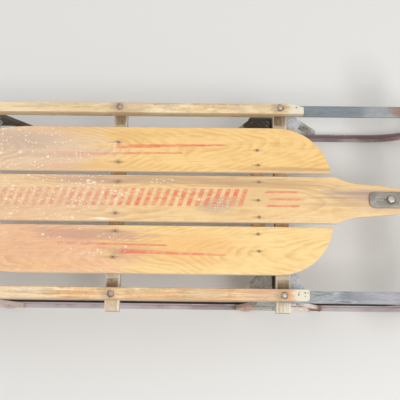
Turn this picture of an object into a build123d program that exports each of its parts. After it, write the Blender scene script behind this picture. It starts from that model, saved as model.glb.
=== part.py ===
from build123d import *
import os
from math import acos, atan2, cos, radians, sin, sqrt

os.makedirs("parts", exist_ok=True)

# A steerable wooden sled on steel runners, in millimetres.
# Lengths along the sled run forward, and heights run up from the ground.

# Places along the sled
REAR_OVERHANG = 90.0  # runners' rear ends to the rear bench
REAR_PITCH = 277.0  # rear bench to middle bench
FRONT_PITCH = 308.5  # middle bench to front bench
CLEAT_SETBACK = 43.5  # cleat behind the front bench
DECK_OVERHANG = 40.0  # deck behind the rear bench
BOARD_OVERHANG = 92.5  # side boards' tips ahead of the front bench
SHOULDER_STEP = 9.0  # centre board's shoulder ahead of those tips
NECK_LENGTH = 53.0
NOSE_BOLT_AHEAD = 201.0  # nose bolt ahead of the front bench
NOSE_REACH = 29.5  # centre board's nose ahead of the nose bolt
HANDLE_AHEAD = 58.5  # steering bar ahead of the nose bolt
LINK_LENGTH = 308.5  # rail bolt to tip pin
FLEX_AHEAD = 114.5  # where each runner starts to bend, ahead of the front bench

# Wood
DECK_HEIGHT = 150.0
BOARD_WIDTH = 89.0
BOARD_GAP = 8.2
BOARD_THICK = 11.0
BOARD_CHAMFER = 1.2
FRONT_ROUND = 101.5
REAR_SWEEP = 464.0
REAR_SWEEP_LENGTH = 154.0
BOARD_CORNER = 9.0
NECK_WIDTH = 62.0
NECK_HOLLOW = 3.5
NOSE_WIDTH = 52.0
RAIL_OFFSET = 1.5
RAIL_WIDTH = 21.0
RAIL_THICK = 19.0
RAIL_OVERHANG_REAR = 45.0
RAIL_OVERHANG_FRONT = 45.0
RAIL_CHAMFER = 2.0
RAIL_OUTER_CORNER = 6.0
RAIL_INNER_CORNER = 3.0
BENCH_LENGTH = 406.0
BENCH_SHIFT = -5.0  # the benches sit off centre, towards the right
BENCH_WIDTH = 26.0
BENCH_THICK = 20.0
BENCH_CHAMFER = 1.5
CLEAT_LENGTH = 272.0
CLEAT_WIDTH = 26.0
CLEAT_THICK = 12.0
HANDLE_LENGTH = 508.0
HANDLE_WIDTH = 38.0
HANDLE_GRIP_WIDTH = 30.0
HANDLE_SHOULDER = 92.0
HANDLE_GRIP_LENGTH = 120.0
HANDLE_THICK = 19.0
HANDLE_CHAMFER = 2.5
ROPE_HOLE_INSET = 16.0
ROPE_HOLE_RADIUS = 5.0

# Runners
TRACK_LINE = 180.0
RUNNER_WIDTH = 15.0
RUNNER_BASE = 4.0
RUNNER_DEPTH = 22.0
RUNNER_WEB = 2.5
RUNNER_HEEL_ROUND = 16.0
FLEX_GAP = 1.6
CURL_RADIUS = 185.0
CURL_ANGLE = 30.0
TOE_RADIUS = 80.0
TOE_BEND = 10.0
TOE_SETBACK = 17.5
TOE_PAD_WIDTH = 20.0
TOE_WEB_END = 7.0

# Steering steel
SIDE_BAR_WIDTH = 22.0
SIDE_BAR_THICK = 4.5
BUMPER_WIDTH = 20.0
BUMPER_THICK = 5.0
BUMPER_BOW = 28.0
PLATE_WIDTH = 30.0
PLATE_THICK = 3.0
PLATE_SETBACK = 39.5
PLATE_CORNER = 10.0
PLATE_SLOT_SETBACK = 17.5
PLATE_SLOT_LENGTH = 16.0
PLATE_SLOT_WIDTH = 5.0
TONGUE_WIDTH = 20.0
PIN_RADIUS = 4.0
PIN_HEAD_RADIUS = 7.0
PIN_HEAD = 2.5
BOLT_HEAD_RADIUS = 8.5
BOLT_HEAD = 4.0
BOLT_HEAD_CHAMFER = 1.6
NUT_WIDTH = 14.0
NUT_HEIGHT = 5.0
RAIL_BOLT_RADIUS = 3.2
RAIL_BOLT_HEAD_RADIUS = 6.5
RAIL_BOLT_HEAD = 2.0
RAIL_BOLT_COVER = 4.0

# Pressed knees, measured from the bench's centre line
KNEE_SHEET = 2.5
KNEE_BEND = 18.0
KNEE_FLANGE = 52.0
KNEE_FLANGE_SETBACK = 41.0
KNEE_FLANGE_REACH = 26.0
KNEE_EAR_SETBACK = 69.0
KNEE_EAR_REACH = 42.0
KNEE_EAR_INSET = 4.0
KNEE_TOP_SETBACK = 60.0
KNEE_TOP_REACH = 38.0
KNEE_WAIST_SETBACK = 45.0
KNEE_WAIST_REACH = 30.0
KNEE_FOOT_SETBACK = 80.0
KNEE_FOOT_REACH = 88.0
KNEE_ANKLE = 20.0
KNEE_LEG = 20.0
KNEE_SILL = 10.0
KNEE_BROW = 67.0
KNEE_ARCH_ROUND = 18.0
KNEE_SILL_ROUND = 6.0
KNEE_RIM = 5.0
KNEE_SOLE = 6.8
KNEE_LOBE_SETBACK = 60.0
KNEE_LOBE_AHEAD = 57.0
KNEE_LOBE_LENGTH = 36.0
KNEE_LOBE_REACH = 9.2
KNEE_LOBE_THICK = 5.0

# Fits
BORE_FIT = 0.05
FACE_GAP = 0.3
BAR_GAP = 0.4
LOOSE_FIT = 0.6
SLOT_FIT = 0.3
SLOT_PLAY = 1.2
REBATE_MARGIN = 1.0

# Stations, measured forward from the runners' rear ends
REAR_BENCH = REAR_OVERHANG
MIDDLE_BENCH = REAR_BENCH + REAR_PITCH
FRONT_BENCH = MIDDLE_BENCH + FRONT_PITCH
CLEAT = FRONT_BENCH - CLEAT_SETBACK
DECK_REAR = REAR_BENCH - DECK_OVERHANG
BOARD_TIP = FRONT_BENCH + BOARD_OVERHANG
SHOULDER = BOARD_TIP + SHOULDER_STEP
NOSE_BOLT = FRONT_BENCH + NOSE_BOLT_AHEAD
HANDLE = NOSE_BOLT + HANDLE_AHEAD
TIP_PIN = FRONT_BENCH + LINK_LENGTH
TONGUE_PIN = TIP_PIN + BUMPER_BOW
FLEX = FRONT_BENCH + FLEX_AHEAD
LENGTH = TONGUE_PIN + TONGUE_WIDTH / 2

# Heights and lateral lines that follow
BENCH_TOP = DECK_HEIGHT - BOARD_THICK
BENCH_LOW = BENCH_TOP - BENCH_THICK
RAIL_TOP = BENCH_TOP + RAIL_THICK
SIDE_BAR_LOW = BENCH_TOP + BAR_GAP
SIDE_BAR_TOP = SIDE_BAR_LOW + SIDE_BAR_THICK
BUMPER_LOW = SIDE_BAR_TOP + FACE_GAP
BUMPER_TOP = BUMPER_LOW + BUMPER_THICK
PLATE_LOW = DECK_HEIGHT + FACE_GAP
PLATE_TOP = PLATE_LOW + PLATE_THICK
HANDLE_TOP = PLATE_TOP + HANDLE_THICK
TOE_TOP = SIDE_BAR_LOW - FACE_GAP
TOE_LOW = TOE_TOP - RUNNER_BASE
INNER_EDGE = BOARD_WIDTH / 2 + BOARD_GAP
DECK_EDGE = INNER_EDGE + BOARD_WIDTH
RAIL_LINE = TRACK_LINE - RAIL_OFFSET
WEB_FACE = TRACK_LINE + RUNNER_WEB / 2
KNEE_FACE = WEB_FACE + KNEE_SHEET
SIDES = {"left": 1, "right": -1}


def along(station):
    return station - LENGTH / 2


def save(name, shape, colour):
    shape.label = name
    shape.color = Color(*colour)
    export_step(shape, f"parts/{name}.step")


def plate(face, low, high):
    # A flat face drawn in plan, given its lowest and highest height
    return extrude(Plane.XY.offset(low) * face, high - low)


def disc(station, line, radius, low, high):
    return Pos(along(station), line, low) * extrude(Circle(radius), high - low)


def side_prism(face, low, high):
    # A face drawn with length as x and height as y, extruded between two lateral lines
    return Plane((0, low, 0), x_dir=(1, 0, 0), z_dir=(0, -1, 0)) * extrude(face, low - high)


def block(rear, front, line, width, low, high):
    centre = Pos(along((rear + front) / 2), line, (low + high) / 2)
    return centre * Box(front - rear, width, high - low)


def mirrored(shape, side):
    return shape if side > 0 else mirror(shape, Plane.XZ)


def top_rim(shape, top):
    return [edge for edge in shape.edges() if abs(edge.center().Z - top) < 0.01 and edge.length > 1]


def centre_board():
    half = BOARD_WIDTH / 2
    rear = along(DECK_REAR)
    shoulder = along(SHOULDER)
    neck = shoulder + NECK_LENGTH
    nose_radius = NOSE_WIDTH / 2
    nose = along(NOSE_BOLT + NOSE_REACH) - nose_radius
    hollow = (half + NECK_WIDTH / 2) / 2 - NECK_HOLLOW
    with BuildSketch() as outline:
        with BuildLine():
            Line((rear, 0), (rear, half))
            Line((rear, half), (shoulder, half))
            ThreePointArc((shoulder, half), ((shoulder + neck) / 2, hollow), (neck, NECK_WIDTH / 2))
            Line((neck, NECK_WIDTH / 2), (nose, nose_radius))
            CenterArc((nose, 0), nose_radius, 0, 90)
            mirror(about=Plane.XZ)
        make_face()
    board = plate(outline.sketch, BENCH_TOP, DECK_HEIGHT)
    board = chamfer(top_rim(board, DECK_HEIGHT), BOARD_CHAMFER)
    return board - disc(NOSE_BOLT, 0, PIN_RADIUS, BENCH_TOP, DECK_HEIGHT)


def side_board(side):
    # The outer edge sweeps in towards the rear and rounds over at the front
    rear = along(DECK_REAR)
    sweep_centre = DECK_EDGE - REAR_SWEEP
    rear_edge = sweep_centre + sqrt(REAR_SWEEP**2 - REAR_SWEEP_LENGTH**2)
    middle_edge = sweep_centre + sqrt(REAR_SWEEP**2 - (REAR_SWEEP_LENGTH / 2) ** 2)
    round_line = DECK_EDGE - FRONT_ROUND
    tip = along(BOARD_TIP)
    round_start = tip - sqrt(FRONT_ROUND**2 - (INNER_EDGE - round_line) ** 2)
    diagonal = FRONT_ROUND * sin(radians(45))
    with BuildSketch() as outline:
        with BuildLine():
            Line((rear, INNER_EDGE), (rear, rear_edge))
            ThreePointArc(
                (rear, rear_edge),
                (rear + REAR_SWEEP_LENGTH / 2, middle_edge),
                (rear + REAR_SWEEP_LENGTH, DECK_EDGE),
            )
            Line((rear + REAR_SWEEP_LENGTH, DECK_EDGE), (round_start, DECK_EDGE))
            ThreePointArc(
                (round_start, DECK_EDGE),
                (round_start + diagonal, round_line + diagonal),
                (tip, INNER_EDGE),
            )
            Line((tip, INNER_EDGE), (rear, INNER_EDGE))
        make_face()
        rear_corner = outline.vertices().sort_by(Axis.X)[:2].sort_by(Axis.Y)[-1]
        fillet(rear_corner, BOARD_CORNER)
    board = plate(outline.sketch, BENCH_TOP, DECK_HEIGHT)
    board = chamfer(top_rim(board, DECK_HEIGHT), BOARD_CHAMFER)
    return mirrored(board, side)


def bench(station):
    half = BENCH_WIDTH / 2
    bar = block(station - half, station + half, BENCH_SHIFT, BENCH_LENGTH, BENCH_LOW, BENCH_TOP)
    ends = bar.faces().sort_by(Axis.Y)
    bar = chamfer(ends[0].edges() + ends[-1].edges(), BENCH_CHAMFER)
    if station == FRONT_BENCH:
        for side in SIDES.values():
            bar -= disc(station, side * TRACK_LINE, RAIL_BOLT_RADIUS, BENCH_LOW + RAIL_BOLT_COVER, BENCH_TOP)
    return bar


def cleat():
    half = CLEAT_WIDTH / 2
    return block(CLEAT - half, CLEAT + half, 0, CLEAT_LENGTH, BENCH_TOP - CLEAT_THICK, BENCH_TOP)


def rail(side):
    rear = REAR_BENCH - RAIL_OVERHANG_REAR
    front = FRONT_BENCH + RAIL_OVERHANG_FRONT
    bar = block(rear, front, RAIL_LINE, RAIL_WIDTH, BENCH_TOP, RAIL_TOP)
    uprights = bar.edges().filter_by(Axis.Z).sort_by(Axis.Y)
    bar = fillet(uprights[2:], RAIL_OUTER_CORNER)
    uprights = bar.edges().filter_by(Axis.Z).sort_by(Axis.Y)
    bar = fillet(uprights[:2], RAIL_INNER_CORNER)
    bar = chamfer(top_rim(bar, RAIL_TOP), RAIL_CHAMFER)
    rebate_rear = FRONT_BENCH - SIDE_BAR_WIDTH / 2 - REBATE_MARGIN
    bar -= block(rebate_rear, front, RAIL_LINE, RAIL_WIDTH, BENCH_TOP, SIDE_BAR_TOP + BAR_GAP)
    bar -= disc(FRONT_BENCH, TRACK_LINE, RAIL_BOLT_RADIUS, BENCH_TOP, RAIL_TOP)
    return mirrored(bar, side)


def rail_bolt(side):
    line = side * TRACK_LINE
    shank = disc(FRONT_BENCH, line, RAIL_BOLT_RADIUS, BENCH_LOW + RAIL_BOLT_COVER, RAIL_TOP)
    return shank + disc(FRONT_BENCH, line, RAIL_BOLT_HEAD_RADIUS, RAIL_TOP, RAIL_TOP + RAIL_BOLT_HEAD)


def side_bar(side):
    line = side * TRACK_LINE
    middle = along(FRONT_BENCH + LINK_LENGTH / 2)
    bar = plate(Pos(middle, line) * SlotCenterToCenter(LINK_LENGTH, SIDE_BAR_WIDTH), SIDE_BAR_LOW, SIDE_BAR_TOP)
    bar -= disc(FRONT_BENCH, line, RAIL_BOLT_RADIUS + BORE_FIT, SIDE_BAR_LOW, SIDE_BAR_TOP)
    return bar - disc(TIP_PIN, line, PIN_RADIUS, SIDE_BAR_LOW, SIDE_BAR_TOP)


def rivet(station, line, low, high):
    # A round shank with a hexagonal nut below and a round head above
    shank = disc(station, line, PIN_RADIUS, low - PIN_HEAD, high)
    nut = Pos(along(station), line) * RegularPolygon(NUT_WIDTH / 2, 6, major_radius=False)
    return shank + plate(nut, low - PIN_HEAD, low) + disc(station, line, PIN_HEAD_RADIUS, high, high + PIN_HEAD)


def tip_pin(side):
    return rivet(TIP_PIN, side * TRACK_LINE, TOE_LOW - FACE_GAP, BUMPER_TOP + FACE_GAP)


def tongue_pin():
    return rivet(TONGUE_PIN, 0, BUMPER_LOW - FACE_GAP, PLATE_TOP)


def bumper():
    bow = ThreePointArc(
        (along(TIP_PIN), TRACK_LINE),
        (along(TIP_PIN) + BUMPER_BOW, 0),
        (along(TIP_PIN), -TRACK_LINE),
    )
    bow_bar = plate(SlotArc(bow, BUMPER_WIDTH), BUMPER_LOW, BUMPER_TOP)
    for side in SIDES.values():
        bow_bar -= disc(TIP_PIN, side * TRACK_LINE, PIN_RADIUS + BORE_FIT, BUMPER_LOW, BUMPER_TOP)
    slot = Pos(along(TONGUE_PIN), 0) * SlotCenterToCenter(2 * SLOT_PLAY, 2 * (PIN_RADIUS + SLOT_FIT))
    return bow_bar - plate(slot, BUMPER_LOW, BUMPER_TOP)


def steering_plate():
    # Wide over the nose, and a narrower tongue out to the bumper
    rear = NOSE_BOLT - PLATE_SETBACK
    wide = Pos(along((rear + HANDLE) / 2), 0) * RectangleRounded(HANDLE - rear, PLATE_WIDTH, PLATE_CORNER)
    tongue = Pos(along((HANDLE + TONGUE_PIN) / 2), 0) * SlotCenterToCenter(TONGUE_PIN - HANDLE, TONGUE_WIDTH)
    slot = Pos(along(NOSE_BOLT - PLATE_SLOT_SETBACK), 0) * SlotOverall(PLATE_SLOT_LENGTH, PLATE_SLOT_WIDTH)
    lever = plate(wide + tongue - slot, PLATE_LOW, PLATE_TOP)
    lever -= disc(NOSE_BOLT, 0, PIN_RADIUS + BORE_FIT, PLATE_LOW, PLATE_TOP)
    return lever - disc(TONGUE_PIN, 0, PIN_RADIUS, PLATE_LOW, PLATE_TOP)


def nose_bolt():
    head_low = PLATE_TOP + FACE_GAP
    head_top = head_low + BOLT_HEAD
    head = disc(NOSE_BOLT, 0, BOLT_HEAD_RADIUS, head_low, head_top)
    head = chamfer(top_rim(head, head_top), BOLT_HEAD_CHAMFER)
    nut = Pos(along(NOSE_BOLT), 0) * RegularPolygon(NUT_WIDTH / 2, 6, major_radius=False)
    return disc(NOSE_BOLT, 0, PIN_RADIUS, BENCH_TOP, head_low) + head + plate(nut, BENCH_TOP - NUT_HEIGHT, BENCH_TOP)


def steering_bar():
    # Broad in the middle, necked down to a grip at each end
    half = HANDLE_LENGTH / 2
    grip = HANDLE_GRIP_WIDTH / 2
    grip_start = half - HANDLE_GRIP_LENGTH
    shoulder = (HANDLE_WIDTH / 2, HANDLE_SHOULDER)
    waist = ((HANDLE_WIDTH / 2 + grip) / 2, (HANDLE_SHOULDER + grip_start) / 2)
    with BuildSketch() as outline:
        with BuildLine():
            Line((HANDLE_WIDTH / 2, 0), shoulder)
            TangentArc(shoulder, waist, tangent=(0, 1))
            TangentArc((grip, grip_start), waist, tangent=(0, -1))
            Line((grip, grip_start), (grip, half - grip))
            CenterArc((0, half - grip), grip, 0, 90)
            mirror(about=Plane.YZ)
            mirror(about=Plane.XZ)
        make_face()
    bar = plate(Pos(along(HANDLE), 0) * outline.sketch, PLATE_TOP, HANDLE_TOP)
    bar = chamfer(top_rim(bar, HANDLE_TOP), HANDLE_CHAMFER)
    for side in SIDES.values():
        bar -= disc(HANDLE, side * (half - ROPE_HOLE_INSET), ROPE_HOLE_RADIUS, PLATE_TOP, HANDLE_TOP)
    return bar


def runner(side):
    front = FLEX - FLEX_GAP / 2
    base = block(0, front, TRACK_LINE, RUNNER_WIDTH, 0, RUNNER_BASE)
    web = block(0, front, TRACK_LINE, RUNNER_WEB, 0, RUNNER_DEPTH)
    heel = web.edges().filter_by(Axis.Y).group_by(Axis.X)[0].sort_by(Axis.Z)[-1]
    return mirrored(base + fillet(heel, RUNNER_HEEL_ROUND), side)


def curl_band(depth, legs):
    # The outer curve runs along the given legs, and the inner curve lies one depth inside it.
    # Columns of a leg: straight length before the arc, arc radius, arc angle
    start = along(FLEX + FLEX_GAP / 2)

    def trace(inset):
        point, heading, edges = Vector(start, inset), 0.0, []
        for straight, radius, angle in legs:
            ahead = Vector(cos(radians(heading)), sin(radians(heading)))
            if straight:
                edges.append(Line(point, point + ahead * straight))
                point = edges[-1] @ 1
            if angle:
                edges.append(JernArc(point, ahead, radius - inset, angle))
                point = edges[-1] @ 1
                heading += angle
        return edges, point

    outer, outer_end = trace(0)
    inner, inner_end = trace(depth)
    closing = [Line((start, 0), (start, depth)), Line(outer_end, inner_end)]
    return make_face(Wire(outer + inner + closing))


def runner_front(side):
    # Flat, then a long curl and a tighter toe, then upright to a pad under the side bar's end
    toe_front = TIP_PIN + TOE_SETBACK
    curl_sine = sin(radians(CURL_ANGLE))
    curl_cosine = cos(radians(CURL_ANGLE))
    curl_start = toe_front - CURL_RADIUS * curl_sine - TOE_RADIUS * (1 - curl_sine)
    flat = curl_start - FLEX - FLEX_GAP / 2
    rise = CURL_RADIUS * (1 - curl_cosine) + TOE_RADIUS * curl_cosine
    upright = TOE_TOP - TOE_BEND - rise
    curl = [(flat, CURL_RADIUS, CURL_ANGLE), (0, TOE_RADIUS, 90 - CURL_ANGLE)]
    base = curl_band(RUNNER_BASE, curl + [(upright, TOE_BEND, 90), (TOE_SETBACK - TOE_BEND, 0, 0)])
    web = curl_band(RUNNER_DEPTH, curl + [(upright / 2, 0, 0)])
    # The web narrows along a straight cut that starts where it touches the inner curve
    centre, reach, inner = along(toe_front) - TOE_RADIUS, TOE_RADIUS - TOE_WEB_END, TOE_RADIUS - RUNNER_DEPTH
    touch = atan2(upright / 2, reach) - acos(inner / sqrt(reach**2 + (upright / 2) ** 2))
    taper = make_face(
        Polyline(
            (centre + reach, rise + upright / 2),
            (centre + inner * cos(touch), rise + inner * sin(touch)),
            (centre + inner - RUNNER_BASE, rise + upright / 2),
            close=True,
        )
    )
    band = side_prism(base, TRACK_LINE - RUNNER_WIDTH / 2, TRACK_LINE + RUNNER_WIDTH / 2)
    band += side_prism(web - taper, TRACK_LINE - RUNNER_WEB / 2, TRACK_LINE + RUNNER_WEB / 2)
    band += disc(TIP_PIN, TRACK_LINE, TOE_PAD_WIDTH / 2, TOE_LOW, TOE_TOP)
    band -= disc(TIP_PIN, TRACK_LINE, PIN_RADIUS + LOOSE_FIT, TOE_LOW, TOE_TOP)
    return mirrored(band, side)


def knee(station, side):
    # One pressed sheet: a flange under the bench, bent down to a web with two legs and an arch
    middle = along(station)
    waist = BENCH_LOW - KNEE_BEND
    ankle = RUNNER_BASE + KNEE_ANKLE
    sill = RUNNER_BASE + KNEE_SILL
    brow = BENCH_LOW - KNEE_BROW

    def leg_edge(top, foot, height):
        return top + (foot - top) * (waist - height) / (waist - ankle)

    def rear_edge(height):
        return middle - leg_edge(KNEE_WAIST_SETBACK, KNEE_FOOT_SETBACK, height)

    def front_edge(height):
        return middle + leg_edge(KNEE_WAIST_REACH, KNEE_FOOT_REACH, height)

    outer = make_face(
        Polyline(
            (middle - KNEE_TOP_SETBACK, BENCH_LOW),
            (rear_edge(waist), waist),
            (rear_edge(ankle), ankle),
            (rear_edge(ankle), RUNNER_BASE),
            (front_edge(ankle), RUNNER_BASE),
            (front_edge(ankle), ankle),
            (front_edge(waist), waist),
            (middle + KNEE_TOP_REACH, BENCH_LOW),
            close=True,
        )
    )
    arch = make_face(
        Polyline(
            (rear_edge(brow) + KNEE_LEG, brow),
            (front_edge(brow) - KNEE_LEG, brow),
            (front_edge(sill) - KNEE_LEG, sill),
            (rear_edge(sill) + KNEE_LEG, sill),
            close=True,
        )
    )
    arch = fillet(arch.vertices().group_by(Axis.Y)[-1], KNEE_ARCH_ROUND)
    arch = fillet(arch.vertices().group_by(Axis.Y)[0], KNEE_SILL_ROUND)

    bend_line = KNEE_FACE - KNEE_BEND
    section = make_face(
        Wire(
            [
                Line((bend_line, BENCH_LOW), (bend_line, BENCH_LOW - KNEE_SHEET)),
                JernArc((bend_line, BENCH_LOW - KNEE_SHEET), (1, 0), KNEE_BEND - KNEE_SHEET, -90),
                Line((WEB_FACE, waist), (WEB_FACE, RUNNER_BASE)),
                Line((WEB_FACE, RUNNER_BASE), (KNEE_FACE, RUNNER_BASE)),
                Line((KNEE_FACE, RUNNER_BASE), (KNEE_FACE, waist)),
                JernArc((bend_line, BENCH_LOW), (1, 0), KNEE_BEND, -90),
            ]
        )
    )
    reach = KNEE_FOOT_SETBACK + KNEE_FOOT_REACH
    sheet = Plane((middle - reach, 0, 0), x_dir=(0, 1, 0), z_dir=(1, 0, 0)) * extrude(section, 2 * reach)
    sheet &= side_prism(outer - arch, bend_line, KNEE_FACE)

    inner_line = KNEE_FACE - KNEE_FLANGE
    ear_line = bend_line - KNEE_EAR_INSET
    flange = make_face(
        Polyline(
            (middle - KNEE_FLANGE_SETBACK, inner_line),
            (middle + KNEE_FLANGE_REACH, inner_line),
            (middle + KNEE_EAR_REACH, ear_line),
            (middle + KNEE_TOP_REACH, bend_line),
            (middle - KNEE_TOP_SETBACK, bend_line),
            (middle - KNEE_EAR_SETBACK, ear_line),
            close=True,
        )
    )
    sheet += plate(flange, BENCH_LOW - KNEE_SHEET, BENCH_LOW)

    # Between the feet the sheet's lower edge is turned outwards onto the runner
    sole_line = WEB_FACE + KNEE_SOLE / 2
    sheet += block(
        station - KNEE_FOOT_SETBACK,
        station + KNEE_FOOT_REACH,
        sole_line,
        KNEE_SOLE,
        RUNNER_BASE,
        RUNNER_BASE + KNEE_SHEET,
    )

    # Each leg's outer edge is turned outwards, and it stands in a rounded foot on the runner
    for edge, inward, lobe_line in (
        (rear_edge, 1, middle - KNEE_LOBE_SETBACK),
        (front_edge, -1, middle + KNEE_LOBE_AHEAD),
    ):
        rim = make_face(
            Polyline(
                (edge(waist), waist),
                (edge(ankle), ankle),
                (edge(ankle), RUNNER_BASE),
                (edge(ankle) + inward * KNEE_SHEET, RUNNER_BASE),
                (edge(ankle) + inward * KNEE_SHEET, ankle),
                (edge(waist) + inward * KNEE_SHEET, waist),
                close=True,
            )
        )
        sheet += side_prism(rim, WEB_FACE, KNEE_FACE + KNEE_RIM)
        centre = Pos(lobe_line, WEB_FACE)
        half_plane = Pos(0, KNEE_LOBE_REACH / 2) * Rectangle(KNEE_LOBE_LENGTH, KNEE_LOBE_REACH)
        lobe = Ellipse(KNEE_LOBE_LENGTH / 2, KNEE_LOBE_REACH) & half_plane
        sheet += plate(centre * lobe, RUNNER_BASE, RUNNER_BASE + KNEE_LOBE_THICK)
    return mirrored(sheet, side)


WOOD = (0.83, 0.62, 0.33)
BENCH_WOOD = (0.62, 0.52, 0.42)
RED_STEEL = (0.55, 0.16, 0.14)
GREY_STEEL = (0.55, 0.56, 0.57)
BRIGHT_STEEL = (0.7, 0.7, 0.7)

save("centre_board", centre_board(), WOOD)
save("cleat", cleat(), BENCH_WOOD)
save("bumper", bumper(), GREY_STEEL)
save("steering_plate", steering_plate(), GREY_STEEL)
save("steering_bar", steering_bar(), WOOD)
save("tongue_pin", tongue_pin(), BRIGHT_STEEL)
save("nose_bolt", nose_bolt(), BRIGHT_STEEL)
for bench_name, bench_station in (("rear", REAR_BENCH), ("middle", MIDDLE_BENCH), ("front", FRONT_BENCH)):
    save(f"bench_{bench_name}", bench(bench_station), BENCH_WOOD)
for side_name, side_sign in SIDES.items():
    save(f"side_board_{side_name}", side_board(side_sign), WOOD)
    save(f"rail_{side_name}", rail(side_sign), WOOD)
    save(f"rail_bolt_{side_name}", rail_bolt(side_sign), BRIGHT_STEEL)
    save(f"side_bar_{side_name}", side_bar(side_sign), GREY_STEEL)
    save(f"tip_pin_{side_name}", tip_pin(side_sign), BRIGHT_STEEL)
    save(f"runner_{side_name}", runner(side_sign), RED_STEEL)
    save(f"runner_front_{side_name}", runner_front(side_sign), RED_STEEL)
    for knee_name, knee_station in (("rear", REAR_BENCH), ("front", FRONT_BENCH)):
        save(f"knee_{knee_name}_{side_name}", knee(knee_station, side_sign), GREY_STEEL)
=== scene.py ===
from math import cos, pi, radians, sin, sqrt, tau

import bmesh
import bpy
import numpy as np
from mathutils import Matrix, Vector


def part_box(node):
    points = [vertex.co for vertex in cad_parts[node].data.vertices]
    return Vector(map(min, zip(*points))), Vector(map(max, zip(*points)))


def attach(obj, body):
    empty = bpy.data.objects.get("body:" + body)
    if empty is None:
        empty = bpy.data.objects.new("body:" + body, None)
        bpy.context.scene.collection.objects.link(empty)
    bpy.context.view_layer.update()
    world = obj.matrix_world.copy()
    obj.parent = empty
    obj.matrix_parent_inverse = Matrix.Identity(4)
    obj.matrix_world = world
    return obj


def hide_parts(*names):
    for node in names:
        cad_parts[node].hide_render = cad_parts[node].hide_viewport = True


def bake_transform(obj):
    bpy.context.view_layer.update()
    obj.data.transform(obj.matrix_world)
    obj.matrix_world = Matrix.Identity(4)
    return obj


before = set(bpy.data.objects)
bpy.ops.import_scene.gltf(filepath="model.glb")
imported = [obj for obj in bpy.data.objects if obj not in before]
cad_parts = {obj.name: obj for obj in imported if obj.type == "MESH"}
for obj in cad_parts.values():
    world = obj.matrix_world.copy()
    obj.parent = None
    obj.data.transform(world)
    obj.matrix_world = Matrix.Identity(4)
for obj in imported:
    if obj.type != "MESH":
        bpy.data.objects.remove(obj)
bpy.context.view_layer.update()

# Sizes in metres, in the sled's own frame: forward is x, the rider's left is y, up is z
MM = 0.001
SIDES = {"left": 1, "right": -1}

REAR_BENCH, MIDDLE_BENCH, FRONT_BENCH, CLEAT = (
    sum(corner.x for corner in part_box(node)) / 2
    for node in ("bench_rear", "bench_middle", "bench_front", "cleat")
)
DECK_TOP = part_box("centre_board")[1].z
DECK_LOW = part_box("centre_board")[0].z
DECK_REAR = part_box("centre_board")[0].x
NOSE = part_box("centre_board")[1].x
BOARD_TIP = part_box("side_board_left")[1].x
INNER_EDGE, DECK_EDGE = (corner.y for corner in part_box("side_board_left"))
TRACK = sum(corner.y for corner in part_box("runner_left")) / 2
NOSE_BOLT = sum(corner.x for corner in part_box("nose_bolt")) / 2
TIP_PIN = sum(corner.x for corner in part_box("tip_pin_left")) / 2
TONGUE_PIN = sum(corner.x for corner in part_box("tongue_pin")) / 2
RAIL_REAR, RAIL_FRONT = (corner.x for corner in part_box("rail_left"))
RAIL_INNER, RAIL_OUTER = (corner.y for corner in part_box("rail_left"))
RAIL_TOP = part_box("rail_left")[1].z


# Shader tools


def linear(colour):
    """A hex colour as Blender's linear red, green, blue and alpha."""
    parts = [int(colour[i : i + 2], 16) / 255 for i in (1, 3, 5)]
    return [c / 12.92 if c <= 0.04045 else ((c + 0.055) / 1.055) ** 2.4 for c in parts] + [1.0]


class Wire:
    """A shader socket that ordinary arithmetic works on, with one Math node for each operation."""

    def __init__(self, finish, socket):
        self.finish = finish
        self.socket = socket

    def reckon(self, operation, *values):
        return self.finish.node("Math", {"operation": operation}, dict(enumerate(values)))

    def __add__(self, other):
        return self.reckon("ADD", self, other)

    def __radd__(self, other):
        return self.reckon("ADD", other, self)

    def __sub__(self, other):
        return self.reckon("SUBTRACT", self, other)

    def __rsub__(self, other):
        return self.reckon("SUBTRACT", other, self)

    def __mul__(self, other):
        return self.reckon("MULTIPLY", self, other)

    def __rmul__(self, other):
        return self.reckon("MULTIPLY", other, self)

    def __truediv__(self, other):
        return self.reckon("DIVIDE", self, other)

    def root(self):
        return self.reckon("SQRT", self)

    def fraction(self):
        return self.reckon("FRACT", self)

    def size(self):
        return self.reckon("ABSOLUTE", self)

    def least(self, other):
        return self.reckon("MINIMUM", self, other)

    def most(self, other):
        return self.reckon("MAXIMUM", self, other)

    def step(self, start, end):
        """A smooth rise from 0 at the start to 1 at the end, or a fall where the end is below the start."""
        wanted = {"Value": self, "From Min": start, "From Max": end}
        return self.finish.node("MapRange", {"interpolation_type": "SMOOTHSTEP"}, wanted)

    def band(self, low, high, blur):
        """1 between two edges and 0 outside them, softened by the blur on both sides of each edge."""
        return self.step(low - blur, low + blur) * self.step(high + blur, high - blur)


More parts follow.
